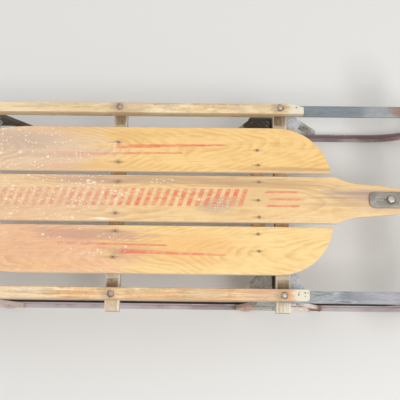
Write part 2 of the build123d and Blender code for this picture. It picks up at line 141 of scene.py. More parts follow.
class Finish:
    """One material, built up node by node round its Principled shader."""

    def __init__(self, name, shift=(0, 0, 0)):
        self.material = bpy.data.materials.new(name)
        self.material.use_nodes = True
        self.tree = self.material.node_tree
        self.shader = self.tree.nodes["Principled BSDF"]
        place = self.node("TexCoord", output="Object")
        self.true_place = place
        self.at = self.node("VectorMath", {"operation": "ADD"}, {0: place, 1: shift})
        self.x, self.y, self.z = (
            self.node("SeparateXYZ", inputs={0: place}, output=axis) for axis in "XYZ"
        )

    def node(self, kind, settings=None, inputs=None, output=0):
        made = self.tree.nodes.new("ShaderNode" + kind)
        for key, value in (settings or {}).items():
            setattr(made, key, value)
        for key, value in (inputs or {}).items():
            self.feed(made.inputs[key], value)
        return Wire(self, made.outputs[output])

    def feed(self, socket, value):
        if isinstance(value, Wire):
            self.tree.links.new(value.socket, socket)
        else:
            socket.default_value = value

    def scaled(self, factors, vector=None):
        return self.node("VectorMath", {"operation": "MULTIPLY"}, {0: vector or self.at, 1: factors})

    def noise(self, factors, detail, roughness=0.5):
        wanted = {"Vector": self.scaled(factors), "Scale": 1.0}
        wanted |= {"Detail": detail, "Roughness": roughness}
        return self.node("TexNoise", inputs=wanted)

    def cells(self, factors, output="Distance"):
        wanted = {"Vector": self.scaled(factors), "Scale": 1.0}
        return self.node("TexVoronoi", inputs=wanted, output=output)

    def mix(self, share, first, second):
        first, second = (linear(c) if isinstance(c, str) else c for c in (first, second))
        return self.node("Mix", {"data_type": "RGBA"}, {0: share, 6: first, 7: second}, 2)

    def layered(self, colour, *layers):
        """A colour with others laid over it in turn, each given as its share and its colour."""
        for share, shade in layers:
            colour = self.mix(share, colour, shade)
        return colour

    def away(self, centre, reach):
        """How far a point is from a centre, counted in the reach of an ellipse round it."""
        offset = self.node("VectorMath", {"operation": "SUBTRACT"}, {0: self.true_place, 1: centre})
        shares = self.scaled([1 / r for r in reach], offset)
        return self.node("VectorMath", {"operation": "LENGTH"}, {0: shares}, "Value")

    def facing_up(self):
        """The upright part of the surface's direction: 1 faces up, 0 sideways and -1 down."""
        normal = self.node("NewGeometry", output="Normal")
        return self.node("SeparateXYZ", inputs={0: normal}, output="Z")

    def close(self, colour, roughness, metallic=0.0, height=None, depth=0.0, coat=0.0):
        """Feeds the shader and gives the finished material."""
        self.feed(self.shader.inputs["Base Color"], colour)
        self.feed(self.shader.inputs["Roughness"], roughness)
        self.feed(self.shader.inputs["Metallic"], metallic)
        self.shader.inputs["Coat Weight"].default_value = coat
        self.shader.inputs["Coat Roughness"].default_value = 0.35
        if height is not None:
            wanted = {"Strength": 1.0, "Distance": depth, "Height": height}
            self.feed(self.shader.inputs["Normal"], self.node("Bump", inputs=wanted, output="Normal"))
        return self.material


# Wood


def grain(finish, heart, taper, ring):
    """Growth rings round a heart line below the face, with fine streaks and pores along them.
    Gives the rings, the streaks and the pores, each from 0 to 1."""
    across, below = heart
    sway = finish.noise((2.4, 12, 12), 3.0) - 0.5
    drift = finish.noise((6, 10, 10), 2.0) - 0.5
    waver = finish.noise((26, 130, 130), 3.0, 0.6) - 0.5
    side = finish.y - across + sway * 0.03
    under = finish.z - below + drift * 0.012
    radius = (side * side + under * under).root() + finish.x * taper + drift * 0.022 + waver * 0.0024
    turn = (radius / ring).fraction()
    rings = turn.step(0.22, 0.86) * turn.step(1.0, 0.86)
    rings = rings * finish.noise((9, 45, 45), 3.0, 0.6).step(0.36, 0.68)
    streaks = finish.noise((16, 420, 420), 4.0, 0.6)
    pores = finish.noise((90, 2200, 2200), 1.0).step(0.62, 0.72)
    return rings, streaks, pores


PAINT_BLUR = 0.9 * MM


def slanted_bar(finish, fray, start, end, low, high, slant):
    """A painted bar with sloping ends and frayed edges, from 0 outside it to 1 inside it."""
    forward = finish.x - (finish.y - low) * slant + fray * 2.4
    inside = forward.band(start, end, PAINT_BLUR)
    return inside * (finish.y + fray).band(low, high, PAINT_BLUR)


def bar_row(finish, fray, start, end, low, high, slant, pitch, width):
    """A row of like painted bars with sloping sides, one at the middle of each pitch."""
    forward = finish.x - (finish.y - low) * slant + fray
    place = ((forward - start) / pitch).fraction() * pitch
    lead = (pitch - width) / 2
    bar = place.band(lead, pitch - lead, PAINT_BLUR)
    row = forward.step(start, start + PAINT_BLUR) * forward.step(end, end - PAINT_BLUR)
    return bar * row * (finish.y + fray).band(low, high, PAINT_BLUR)


def tapered_stripe(finish, fray, start, end, line, wide, narrow, rise):
    """A painted stripe that thins from its start to its end and drifts sideways on the way."""
    share = (finish.x - start) / (end - start)
    half = (share * (narrow - wide) + wide) / 2
    off = (finish.y + fray - line - share * rise).size()
    inside = share.step(0.0, 0.02) * share.step(1.0, 0.98)
    return (off / half).step(1.2, 0.8) * inside


def deck_finish(name, look, nails):
    """Varnished slats, sound in front and worn behind, with stains, worn paint, flakes and nail rings."""
    finish = Finish(name, look["shift"])
    rings, streaks, pores = grain(finish, look["heart"], look["taper"], 5.6 * MM)
    broad = finish.noise((5, 24, 24), 4.0, 0.6)
    fibres = finish.noise((7, 190, 190), 4.0, 0.62)
    mottle = finish.noise((34, 75, 75), 4.0, 0.62)
    worn_line = finish.x + (broad - 0.5) * 0.28 + (fibres - 0.5) * 0.09 + (mottle - 0.5) * 0.14
    worn = worn_line.step(look["worn_end"] + 0.055, look["worn_end"] - 0.065)

    coats = []
    for light, ring, streak, tint in (look["fresh"], look["old"]):
        coat = finish.layered(
            light,
            (rings * 0.58, ring),
            (streaks.step(0.42, 0.8) * 0.4, streak),
            (mottle.step(0.45, 0.72) * 0.35, streak),
            (broad.step(0.48, 0.72) * 0.45, tint),
        )
        coats.append(coat)
    wood = finish.mix(pores * 0.22, finish.mix(worn, *coats), "#A87946")

    for centre, reach, strength, colour in look["stains"]:
        cloud = finish.away((*centre, DECK_TOP), (*reach, 0.1))
        cloud = cloud + (fibres - 0.5) * 1.3 + (mottle - 0.5) + (streaks - 0.5) * 1.4
        wood = finish.mix(cloud.step(1.05, 0.3) * strength, wood, colour)

    # Paint that has rubbed off the high grain and faded on the worn rear half, on the top face alone
    upper = finish.z.step(DECK_TOP - 5 * MM, DECK_TOP - 2 * MM)
    patches = finish.noise((70, 120, 120), 4.0, 0.65)
    kept = (patches * 0.6 + fibres * 0.5).step(0.46, 0.62)
    fray = (finish.noise((200, 420, 420), 3.0, 0.6) - 0.5) * 3 * MM
    shapes = None
    for draw, *sizes in look["paint"]:
        shape = draw(finish, fray, *sizes)
        shapes = shape if shapes is None else shapes.most(shape)
    rubbed = finish.noise((22, 60, 60), 3.0, 0.6).step(0.36, 0.56)
    cover = (kept * 0.45 + 0.42) * (rubbed * 0.4 + 0.6) * (1 - worn * 0.3)
    wood = finish.mix(shapes * cover * upper, wood, finish.mix(worn, "#E66C55", "#DC7F70"))

    # Small flakes where the varnish has lifted, crowded in a few places
    crowd = worn * upper * look["flakes"]
    for centre, reach, most in look["flaked"]:
        near = finish.away((*centre, DECK_TOP), (*reach, 0.1)) + (mottle - 0.5) * 0.9
        crowd = crowd.most(near.step(1.15, 0.2) * upper * most)
    frayed = (finish.noise((420, 520, 520), 2.0) - 0.5) * 0.5
    for size, share in ((78, 0.76), (140, 0.66), (230, 0.66)):
        factors = (size, size * 1.35, size * 1.35)
        luck = finish.node("SeparateXYZ", inputs={0: finish.cells(factors, "Color")}, output="X")
        lifted = (luck * crowd).step(share, share + 0.03)
        fleck = (finish.cells(factors) + frayed).step(0.36, 0.16) * lifted
        wood = finish.mix(fleck * 0.85, wood, "#F9E8CD")

    # A dull bruise round each nail, larger on the worn rear half, with stain run along the grain
    bruise = run = None
    for x, y in nails:
        size = 1.0 if x > 0 else 1.45
        near = finish.away((x, y, DECK_TOP), (5.8 * MM * size, 4.2 * MM * size, 20 * MM))
        far = finish.away((x - 3 * MM, y, DECK_TOP), (15 * MM * size, 2.4 * MM, 20 * MM))
        bruise = near if bruise is None else bruise.least(near)
        run = far if run is None else run.least(far)
    ragged = (finish.noise((260, 520, 520), 3.0, 0.6) - 0.5) * 1.9
    dull = finish.mix(worn, "#957654", "#8B7B66")

    # The rounded edges are worn pale with a painted highlight on them, and the sides and the underside are
    # duller than the top
    rim_wear_and_highlight = finish.z.step(DECK_TOP - 0.3 * MM, DECK_TOP - 1.4 * MM)
    hidden = (finish.z + (mottle - 0.5) * 3 * MM).step(DECK_TOP - 2.4 * MM, DECK_LOW + 1 * MM)
    wood = finish.layered(
        wood,
        ((run + ragged).step(1.2, 0.1) * 0.5, "#94795F"),
        ((bruise + ragged).step(1.2, 0.2) * 0.6, dull),
        (rim_wear_and_highlight * 0.75, "#FFF1D8"),
        (hidden * 0.5, "#BF9462"),
    )
    rough = 0.44 + streaks * 0.12 + worn * 0.16
    height = streaks * 0.5 - pores * 0.5 - rings * 0.25
    return finish.close(wood, rough, height=height, depth=0.12 * MM, coat=0.1)


def rail_finish(name, shift, side, tones, patches):
    """Straight-grained rails: cream and peach streaks, grime at the benches and a pale front end."""
    light, warm, dark = tones
    line = side * TRACK
    finish = Finish(name, shift)
    rings, streaks, pores = grain(finish, (line, DECK_LOW - 60 * MM), 0.012, 3.4 * MM)
    fibres = finish.noise((8, 170, 170), 4.0, 0.62)
    bands = finish.noise((14, 260, 260), 4.0, 0.6)
    dirt = finish.noise((16, 60, 60), 4.0, 0.65)
    specks = finish.noise((150, 320, 320), 3.0, 0.6)
    wood = finish.layered(
        light,
        (fibres.step(0.38, 0.62), warm),
        (bands.step(0.54, 0.66) * 0.75, dark),
        (bands.step(0.44, 0.33) * 0.6, "#FFF2D2"),
        (rings * 0.5, dark),
        (dirt.step(0.52, 0.66) * 0.45, "#A98D6C"),
        (specks.step(0.6, 0.68) * dirt.step(0.42, 0.6) * 0.6, "#8A6E50"),
        (specks.step(0.38, 0.31) * 0.55, "#FFF6DF"),
    )
    for station, reach, strength, colour in patches:
        cloud = finish.away((station, line, RAIL_TOP), (reach, 0.05, 0.05)) + (bands - 0.5) * 1.6
        wood = finish.mix(cloud.step(1.1, 0.3) * strength, wood, colour)
    tip = (finish.x + (fibres - 0.5) * 0.05).step(RAIL_FRONT - 34 * MM, RAIL_FRONT - 20 * MM)
    # Painted shade on the inner face
    inner = (finish.y * side).step(RAIL_INNER + 1.6 * MM, RAIL_INNER + 0.2 * MM)
    wood = finish.layered(
        wood, (tip * 0.85, "#E3DFCC"), (pores * 0.3, "#8A6A48"), (inner * 0.38, "#A58C6C")
    )
    for station in (REAR_BENCH, MIDDLE_BENCH, FRONT_BENCH):
        near = finish.away((station - 4 * MM, line, RAIL_TOP), (21 * MM, 14 * MM, 1.0))
        cloud = near + (fibres - 0.5) * 1.2 + (dirt - 0.5) * 1.2 + (specks - 0.5) * 1.4
        wood = finish.mix(cloud.step(1.0, 0.25) * 0.55, wood, "#94826E")
        ring = finish.away((station, line, RAIL_TOP), (6 * MM, 6 * MM, 40 * MM)) + (specks - 0.5) * 1.1
        wood = finish.mix(ring.step(1.25, 0.95) * 0.85, wood, "#57483A")
    height = streaks * 0.6 - pores * 0.5 + dirt * 0.5
    return finish.close(wood, 0.5 + streaks * 0.15, height=height, depth=0.15 * MM, coat=0.08)


def bench_finish(name, shift, station):
    """Weathered cross pieces with their grain across the sled, faded pale at the ends and the edges, and
    painted light on the ends.
    """
    finish = Finish(name, shift)
    out = finish.y.size()
    ahead = (finish.x - station).size()
    streaks = finish.noise((420, 14, 420), 4.0, 0.6)
    blotches = finish.noise((45, 20, 45), 4.0, 0.6)
    pores = finish.noise((1900, 80, 1900), 1.0).step(0.6, 0.7)

    # Brown under the deck, pale just outside it, dirty beside the rails, rubbed pale along the edges
    sheltered = out.step(DECK_EDGE - 2 * MM, DECK_EDGE - 12 * MM)
    bare = 1 - sheltered
    corner = (out + (blotches - 0.5) * 22 * MM - RAIL_INNER).size()
    dirty = 0.8 - finish.y.step(-0.05, 0.05) * 0.45
    beside = (out + (blotches - 0.5) * 8 * MM).step(DECK_EDGE + 9 * MM, DECK_EDGE + 6 * MM)
    rubbed = (ahead + (blotches - 0.5) * 5 * MM).step(9 * MM, 12 * MM) * bare
    # The ends beyond the rails: faded pale, and with painted light from above
    bleached_and_lit = (out + (streaks - 0.5) * 6 * MM).step(RAIL_OUTER - 3 * MM, RAIL_OUTER + 2 * MM)
    low = finish.z.step(DECK_LOW - 2 * MM, DECK_LOW - 14 * MM)
    worn_end = finish.layered(
        "#DDC7A3",
        (blotches.step(0.4, 0.6), "#EBE4D4"),
        (streaks.step(0.45, 0.7) * 0.6, "#BDB096"),
        (rubbed * 0.8, "#F5F1E6"),
    )
    wood = finish.layered(
        "#AC9678",
        (streaks.step(0.3, 0.75), "#857055"),
        (blotches.step(0.5, 0.66) * 0.75, "#C9BCA3"),
        (blotches.step(0.47, 0.34) * 0.75, "#6B573D"),
        (sheltered * 0.45, "#A87C50"),
        (corner.step(17 * MM, 8 * MM) * bare * dirty, "#725B41"),
        (beside * bare * 0.62, "#D2C9B9"),
        (rubbed * 0.75, "#D8CFBD"),
        (bleached_and_lit * 0.85, worn_end),
        (pores * 0.35, "#57442F"),
        (low * 0.4, "#7D6448"),
    )
    return finish.close(wood, 0.72 + streaks * 0.15, height=streaks - pores * 0.6, depth=0.25 * MM)


def handle_finish(name):
    """The varnished steering bar, worn duller where hands and ropes rub its ends."""
    finish = Finish(name, (3.1, 0.7, 0.2))
    streaks = finish.noise((420, 14, 420), 4.0, 0.6)
    broad = finish.noise((40, 6, 40), 3.0)
    pores = finish.noise((2000, 80, 2000), 1.0).step(0.6, 0.7)
    worn = (finish.y.size() + (broad - 0.5) * 0.05).step(0.17, 0.21)
    wood = finish.layered(
        "#F0CE94",
        (streaks.step(0.3, 0.75), "#CF9C5E"),
        (broad.step(0.5, 0.75) * 0.4, "#F5DBA8"),
        (worn * 0.45, "#D9BE9C"),
        (pores * 0.35, "#8E6638"),
    )
    return finish.close(wood, 0.42 + streaks * 0.1, height=streaks - pores, depth=0.12 * MM, coat=0.15)


# Steel


def painted_steel(name, shift, coats, rust_share, marks, dust, scored=0.0, gritty=0.0):
    """Old paint over steel, from coats of two shades, fine speckle and dust: chips and rust, dust on
    the upper faces that also serves as painted light on them, scratches along a scored bar and grit
    on a gritty knee. The marks are places with a colour of their own, painted light and shade among
    them: centre, reach, strength and colour."""
    finish = Finish(name, shift)
    broad = finish.noise((22, 40, 40), 4.0, 0.6)
    fine = finish.noise((260, 260, 260), 5.0, 0.7)
    rust = finish.mix(fine.step(0.35, 0.7), "#5B3626", "#8C5334")
    level = broad * 0.55 + fine * 0.45
    chips = level.step(1 - rust_share, 1 - rust_share + 0.05)
    # Dust on the upper faces, doubling as painted light on them
    settled_dust_and_top_light = finish.facing_up().step(0.2, 0.95) * broad.step(0.24, 0.54)
    colour = finish.layered(
        coats[0],
        (broad.step(0.35, 0.7), coats[1]),
        (fine.step(0.5, 0.8) * 0.45, coats[2]),
        (chips, rust),
        (settled_dust_and_top_light * dust, coats[3]),
    )
    if scored:
        lines = finish.noise((60, 520, 520), 4.0, 0.7)
        worn = finish.noise((14, 60, 60), 3.0).step(0.4, 0.58)
        colour = finish.layered(
            colour,
            (lines.step(0.54, 0.64) * worn * scored, "#C9C8CB"),
            (lines.step(0.46, 0.36) * scored, "#67676B"),
        )
    if gritty:
        grit = finish.noise((330, 330, 330), 4.0, 0.7)
        scrapes = finish.noise((90, 38, 60), 3.0, 0.6).step(0.44, 0.36)
        colour = finish.layered(
            colour,
            (grit.step(0.53, 0.66) * gritty, "#D6D2C6"),
            (grit.step(0.47, 0.36) * gritty, "#544C40"),
            (scrapes * gritty * 0.7, "#5B5245"),
        )
    for centre, reach, strength, shade in marks:
        near = finish.away(centre, reach) + (level - 0.5) * 1.6
        colour = finish.mix(near.step(1.0, 0.55) * strength, colour, shade)
    if gritty:
        colour = finish.layered(
            colour,
            (grit.step(0.48, 0.38) * gritty * 0.5, "#6B6053"),
            (grit.step(0.56, 0.68) * gritty * 0.4, "#D9D3C8"),
        )
    return finish.close(colour, 0.5 + fine * 0.2, height=fine * 0.5 - chips * 0.6, depth=0.18 * MM)


def bare_steel(name, shift, shades, rust_share, shine=0.75):
    """Unpainted steel from two shades and a tarnish, with painted shade on its upright sides."""
    finish = Finish(name, shift)
    broad = finish.noise((60, 60, 60), 4.0, 0.6)
    fine = finish.noise((900, 900, 900), 4.0, 0.7)
    tarnish = (broad * 0.5 + fine * 0.5).step(1 - rust_share - 0.25, 1 - rust_share)
    # Painted shade on the upright sides
    upright = finish.facing_up().size().step(0.85, 0.4)
    colour = finish.layered(
        shades[0],
        (broad.step(0.35, 0.7), shades[1]),
        (tarnish * 0.8, shades[2]),
        (upright * 0.6, "#4B453F"),
    )
    metallic = shine * (1 - tarnish * 0.8)
    return finish.close(colour, 0.38 + fine * 0.3, metallic=metallic, height=fine, depth=0.1 * MM)


# Shapes

# Points nearer than this are one
MERGE = 1e-6


def join_lists(parts):
    """Several lists of points and faces as one."""
    points, faces = [], []
    for more_points, more_faces in parts:
        faces += [[index + len(points) for index in face] for face in more_faces]
        points += [tuple(point) for point in more_points]
    return points, faces


def mirrored(shape):
    """The same shape on the sled's other side."""
    return [(x, -y, z) for x, y, z in shape[0]], shape[1]


def skin(count, around):
    """The faces between neighbouring rings, with as many points round each."""
    faces = []
    for i in range(count - 1):
        for j in range(around):
            k = (j + 1) % around
            faces.append((i * around + j, i * around + k, (i + 1) * around + k, (i + 1) * around + j))
    return faces


def closed_skin(count, around):
    """The same faces, with the first and the last ring filled in."""
    last = (count - 1) * around
    return skin(count, around) + [tuple(range(around)), tuple(range(last, last + around))]


def piece(name, shape, body, material, replaced=(), smooth=40):
    """A finished piece of the sled from its points and faces."""
    mesh = bpy.data.meshes.new(name)
    mesh.from_pydata([tuple(point) for point in shape[0]], [], [tuple(face) for face in shape[1]])
    made = bmesh.new()
    made.from_mesh(mesh)
    bmesh.ops.remove_doubles(made, verts=made.verts, dist=MERGE)
    bmesh.ops.dissolve_degenerate(made, edges=made.edges, dist=MERGE)
    bmesh.ops.recalc_face_normals(made, faces=made.faces)
    made.to_mesh(mesh)
    made.free()
    return finished(name, mesh, body, material, replaced, smooth)


def finished(name, mesh, body, material, replaced, smooth):
    """An object of the mesh, with its finish, the body that it rides on and the nodes it stands for."""
    mesh.polygons.foreach_set("use_smooth", [True] * len(mesh.polygons))
    mesh.set_sharp_from_angle(angle=radians(smooth))
    mesh.materials.clear()
    mesh.materials.append(material)
    made = bpy.data.objects.new(name, mesh)
    bpy.context.scene.collection.objects.link(made)
    if body:
        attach(made, body)
    if replaced:
        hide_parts(*replaced)
    return made


def softened(node, name, body, material, width=0.5 * MM, segments=2):
    """The solid's own shape with its sharp edges rounded over."""
    level_within, sharp_from = radians(1), radians(28)
    made = bmesh.new()
    made.from_mesh(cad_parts[node].data)
    bmesh.ops.remove_doubles(made, verts=made.verts, dist=MERGE)
    bmesh.ops.dissolve_limit(made, angle_limit=level_within, verts=made.verts, edges=made.edges)
    sharp = [edge for edge in made.edges if edge.is_manifold and edge.calc_face_angle() > sharp_from]
    bmesh.ops.bevel(
        made, geom=sharp, offset=width, offset_type="OFFSET", segments=segments,
        profile=0.5, affect="EDGES", clamp_overlap=True,
    )
    mesh = bpy.data.meshes.new(name)
    made.to_mesh(mesh)
    made.free()
    return finished(name, mesh, body, material, [node], 35)


ROUND_STEPS = (0, 22, 45, 67, 90)


def graded(start, end, pitch, edge, last=True):
    """Stations along a board, closer together where its ends round over."""
    fine = [edge * (1 - cos(radians(angle))) for angle in ROUND_STEPS]
    first_inner, last_inner = start + edge, end - (edge if last else 0)
    count = max(2, round((last_inner - first_inner) / pitch) + 1)
    middle = list(np.linspace(first_inner, last_inner, count))
    back = [end - f for f in fine[-2::-1]] if last else []
    return [start + f for f in fine[:-1]] + middle + back


def plank(stations, low, high, bottom, top, edge, across, turned=False, lower_edge=0.8 * MM):
    """A board whose plan runs between two curves, with its edges rounded over on top and below.
    low and high give its sides at a station, and bottom may be a function of the station too.
    A turned board has its stations across the sled."""
    stations = np.array(sorted(set(stations)))
    lows = np.array([low(x) for x in stations])
    highs = np.array([high(x) for x in stations])
    under = np.array([bottom(x) if callable(bottom) else bottom for x in stations])
    bend_in = [1 - cos(radians(angle)) for angle in ROUND_STEPS]
    slopes = np.gradient(highs, stations), np.gradient(lows, stations)

    # The outline as straight runs from corner to corner. Widths and squares are kept above nothing
    corners = np.vstack([np.column_stack([stations, highs]), np.column_stack([stations, lows])[::-1]])
    runs = np.roll(corners, -1, axis=0) - corners
    squares = np.maximum((runs**2).sum(1), 1e-18)
    widths = np.maximum(highs - lows, 1e-7)

    def sides(rounding):
        """Where the points of each ring stand across the board, crowded at its two rounded edges."""
        near = []
        for slope in slopes:
            stretch = np.sqrt(1 + np.clip(slope, -6, 6) ** 2)
            columns = [np.minimum(rounding * share * stretch / widths, 0.49 * share) for share in bend_in]
            near.append(np.array(columns))
        first, last = near[1], 1 - near[0][::-1]
        middle = [first[-1] + (last[0] - first[-1]) * k / across for k in range(1, across)]
        return np.vstack([first, middle, last])

    def surface(rounding, level, sign):
        """The upper or the lower face, which bends away from its level near the outline."""
        rows = lows + sides(rounding) * widths
        points = np.stack([np.broadcast_to(stations, rows.shape), rows], -1)
        flat = points.reshape(-1, 2)
        away = np.full(len(flat), rounding)
        for start, run, square in zip(corners, runs, squares):
            share = np.clip(((flat - start) @ run) / square, 0, 1)
            away = np.minimum(away, np.hypot(*(flat - start - share[:, None] * run).T))
        bend = rounding - np.sqrt(np.maximum(rounding**2 - (rounding - away) ** 2, 0))
        heights = np.broadcast_to(level, rows.shape) - sign * bend.reshape(rows.shape)
        return np.dstack([points, heights[..., None]]).transpose(1, 0, 2)

    upper = surface(edge, top, 1)
    lower = surface(lower_edge, under, -1)[:, ::-1]
    rings = np.concatenate([upper, lower], axis=1)
    count, around = rings.shape[:2]
    faces = skin(count, around)
    for first in (0, (count - 1) * around):
        # Each end is filled with a strip between its upper and its lower points
        last = first + around - 1
        for j in range(around // 2 - 1):
            faces.append((first + j, first + j + 1, last - 1 - j, last - j))
    points = rings.reshape(-1, 3)
    if turned:
        points = points[:, [1, 0, 2]]
    return points, faces


def turned_shape(profile, centre, around=40):
    """A shape of revolution about an upright line. The profile runs from the axis and back to it."""
    x, y, z = centre
    points = []
    for radius, height in profile:
        for k in range(around):
            angle = tau * k / around
            points.append((x + radius * cos(angle), y + radius * sin(angle), z + height))
    return points, skin(len(profile), around)


def shank(radius, low, high):
    """The profile of a plain round shank between two heights."""
    return [(0, low), (radius, low), (radius, high), (0, high)]


def domed_head(radius, rise, flat=0.0, sink=0.0):
    """The profile of a domed head that stands on a face, from its foot to its crown."""
    curve = [(radius * cos(radians(a)), rise * sin(radians(a))) for a in range(0, 91, 10)]
    return [(0, -sink), (radius * 0.97, -sink), (radius, flat * 0.5)] + [(r, flat + h) for r, h in curve]


def washer(inner, outer, thick):
    """The profile of a flat ring with its edges turned down."""
    bevel = thick * 0.3
    return [
        (inner, 0), (outer - bevel, 0), (outer, bevel), (outer, thick - bevel), (outer - bevel, thick),
        (inner + bevel, thick), (inner, thick - bevel), (inner, 0),
    ]


def hex_nut(radius, thick, centre, spin):
    """A nut with its corners turned down, as far across its flats as twice the radius."""
    x, y, z = centre
    around = 24
    corner, face, bevel = radius / cos(pi / 6), radius * 0.97, 0.12 * thick
    rows = (
        # distance out, height, whether the six flats show there
        (0, 0, False),
        (face, 0, False),
        (corner, bevel, True),
        (corner, thick - bevel, True),
        (face, thick, False),
        (0, thick, False),
    )
    points = []
    for out, height, flats in rows:
        for k in range(around):
            angle = tau * k / around
            size = out * cos(pi / 6) / cos((angle % (pi / 3)) - pi / 6) if flats else out
            points.append((x + size * cos(angle + spin), y + size * sin(angle + spin), z + height))
    return points, skin(len(rows), around)


# Finishes

NAIL_ROWS = (
    # station, lines across the sled
    (REAR_BENCH, (0.103, 0.066, 0.030, -0.030, -0.066, -0.103)),
    (MIDDLE_BENCH + 1 * MM, (0.110, 0.070, 0.031, -0.030, -0.064, -0.1125)),
    (CLEAT, (0.096, 0.066, 0.033, -0.0026, -0.035, -0.067, -0.099)),
)
NAIL_DRIFT = 0.7 * MM
NAILS = [
    # No two neighbours in a row stand quite in line
    (station + ((k * 37) % 5 - 2) * NAIL_DRIFT, line)
    for station, lines in NAIL_ROWS
    for k, line in enumerate(lines)
]

# Painted shapes as a function and its sizes: start, end, low and high edge, slant, and for the row
# its pitch and width, or for a tapered stripe its line, widths at both ends and drift
CENTRE_PAINT = [
    # A row of slanted bars, and the three plain stripes ahead of the cleat
    (bar_row, -0.370, 0.094, -0.0155, 0.0185, 0.35, 16 * MM, 8.6 * MM),
    (slanted_bar, 0.1330, 0.1915, 0.0118, 0.0158, 1.1),
    (slanted_bar, 0.1395, 0.2035, -0.0022, 0.0020, 1.1),
    (slanted_bar, 0.1335, 0.1945, -0.0152, -0.0112, 1.1),
]
FAR_PAINT = [
    (tapered_stripe, -0.150, 0.064, 0.101, 8.5 * MM, 3.0 * MM, 0.005),
    (tapered_stripe, -0.225, -0.020, 0.086, 6.5 * MM, 2.5 * MM, 0.003),
]
NEAR_PAINT = [
    (tapered_stripe, -0.135, 0.062, -0.101, 8.5 * MM, 3.0 * MM, -0.006),
    (tapered_stripe, -0.250, -0.045, -0.087, 6.5 * MM, 2.5 * MM, -0.003),
]
DECK_LOOKS = {
    # shift and heart line of the grain, its taper, the colours of sound and worn wood as light, ring,
    # streak and tint, where the worn part ends, how many flakes it has, stains as centre, reach, strength
    # and colour, places with more flakes as centre, reach and crowding, and paint
    "centre_board": {
        "shift": (0.31, 0.07, 0.0),
        "heart": (-0.012, 0.112),
        "taper": 0.06,
        "fresh": ("#F2D098", "#D0A169", "#CB9E68", "#E3BA82"),
        "old": ("#F0CC9E", "#D9AE82", "#CDA07C", "#E5B593"),
        "worn_end": -0.13,
        "flakes": 0.97,
        "stains": (
            ((0.320, 0.008), (0.100, 0.020), 0.50, "#B59D90"),
            ((0.345, 0.010), (0.060, 0.014), 0.45, "#A8928B"),
            ((0.300, 0.014), (0.120, 0.0045), 0.55, "#A38B80"),
            ((0.290, 0.004), (0.130, 0.0035), 0.50, "#A68D7E"),
            ((0.290, -0.009), (0.140, 0.0050), 0.35, "#AE947F"),
            ((0.345, -0.018), (0.060, 0.0060), 0.45, "#D8BFB4"),
            ((0.352, 0.000), (0.018, 0.006), 0.95, "#B4AFA6"),
            ((0.13, 0.030), (0.20, 0.012), 0.55, "#B5926F"),
            ((0.13, 0.004), (0.10, 0.022), 0.35, "#DBAE80"),
            ((-0.05, 0.036), (0.20, 0.012), 0.60, "#B69373"),
            ((-0.20, 0.034), (0.13, 0.012), 0.55, "#C39C82"),
            ((-0.28, -0.024), (0.10, 0.016), 0.35, "#E3B494"),
            ((0.045, -0.014), (0.050, 0.020), 0.60, "#B9A08A"),
            ((-0.170, -0.041), (0.026, 0.004), 0.95, "#F7E9D2"),
        ),
        "flaked": (
            ((-0.061, 0.035), (0.040, 0.010), 1.30),
            ((-0.105, 0.007), (0.022, 0.016), 1.25),
            ((0.056, -0.014), (0.036, 0.022), 1.30),
            ((-0.204, 0.028), (0.070, 0.016), 1.45),
            ((-0.150, 0.010), (0.060, 0.034), 1.20),
            ((0.00, 0.004), (0.06, 0.020), 1.00),
        ),
        "paint": CENTRE_PAINT,
    },
    "side_board_left": {
        "shift": (1.7, 0.31, 0.1),
        "heart": (0.100, 0.116),
        "taper": 0.20,
        "fresh": ("#F7D08C", "#D79F53", "#D6A057", "#EDBD74"),
        "old": ("#E9CCA9", "#CEA984", "#C6A086", "#E0B99E"),
        "worn_end": -0.175,
        "flakes": 0.86,
        "stains": (
            ((-0.33, 0.112), (0.12, 0.030), 0.55, "#C2A998"),
            ((-0.27, 0.136), (0.10, 0.008), 0.60, "#E8BC84"),
            ((-0.22, 0.060), (0.16, 0.010), 0.50, "#E2B184"),
            ((0.17, 0.058), (0.13, 0.006), 0.55, "#B08B68"),
            ((-0.24, 0.084), (0.09, 0.010), 0.50, "#D9A78E"),
            ((-0.13, 0.125), (0.05, 0.016), 0.40, "#DCAE6C"),
        ),
        "flaked": (
            ((-0.213, 0.090), (0.040, 0.026), 1.15),
            ((-0.316, 0.112), (0.036, 0.010), 1.20),
            ((-0.150, 0.100), (0.030, 0.030), 0.95),
        ),
        "paint": FAR_PAINT,
    },
    "side_board_right": {
        "shift": (2.9, 0.53, 0.2),
        "heart": (-0.106, 0.119),
        "taper": -0.22,
        "fresh": ("#F9D897", "#D29F57", "#DDAA64", "#F3C681"),
        "old": ("#F3C79B", "#D09C72", "#CA916D", "#E7A582"),
        "worn_end": -0.115,
        "flakes": 0.70,
        "stains": (
            ((0.00, -0.092), (0.13, 0.040), 0.60, "#EDB673"),
            ((-0.19, -0.070), (0.13, 0.018), 0.70, "#C39680"),
            ((-0.32, -0.100), (0.14, 0.030), 0.35, "#E2A985"),
            ((-0.12, -0.100), (0.07, 0.026), 0.50, "#D39A7A"),
            ((-0.26, -0.128), (0.12, 0.012), 0.45, "#EDB682"),
            ((-0.135, -0.104), (0.030, 0.010), 0.45, "#A98C7A"),
        ),
        "flaked": (
            ((-0.160, -0.072), (0.036, 0.010), 1.40),
            ((-0.180, -0.104), (0.040, 0.012), 1.35),
            ((-0.238, -0.076), (0.020, 0.008), 1.10),
            ((-0.280, -0.072), (0.020, 0.010), 1.05),
            ((-0.128, -0.096), (0.020, 0.012), 1.30),
        ),
        "paint": NEAR_PAINT,
    },
}
RAIL_TONES = {
    # light wood, warm streaks and dark streaks
    "left": ("#F3E0B6", "#E9C897", "#C3A071"),
    "right": ("#F3DAAA", "#E3AE7A", "#B27F50"),
}
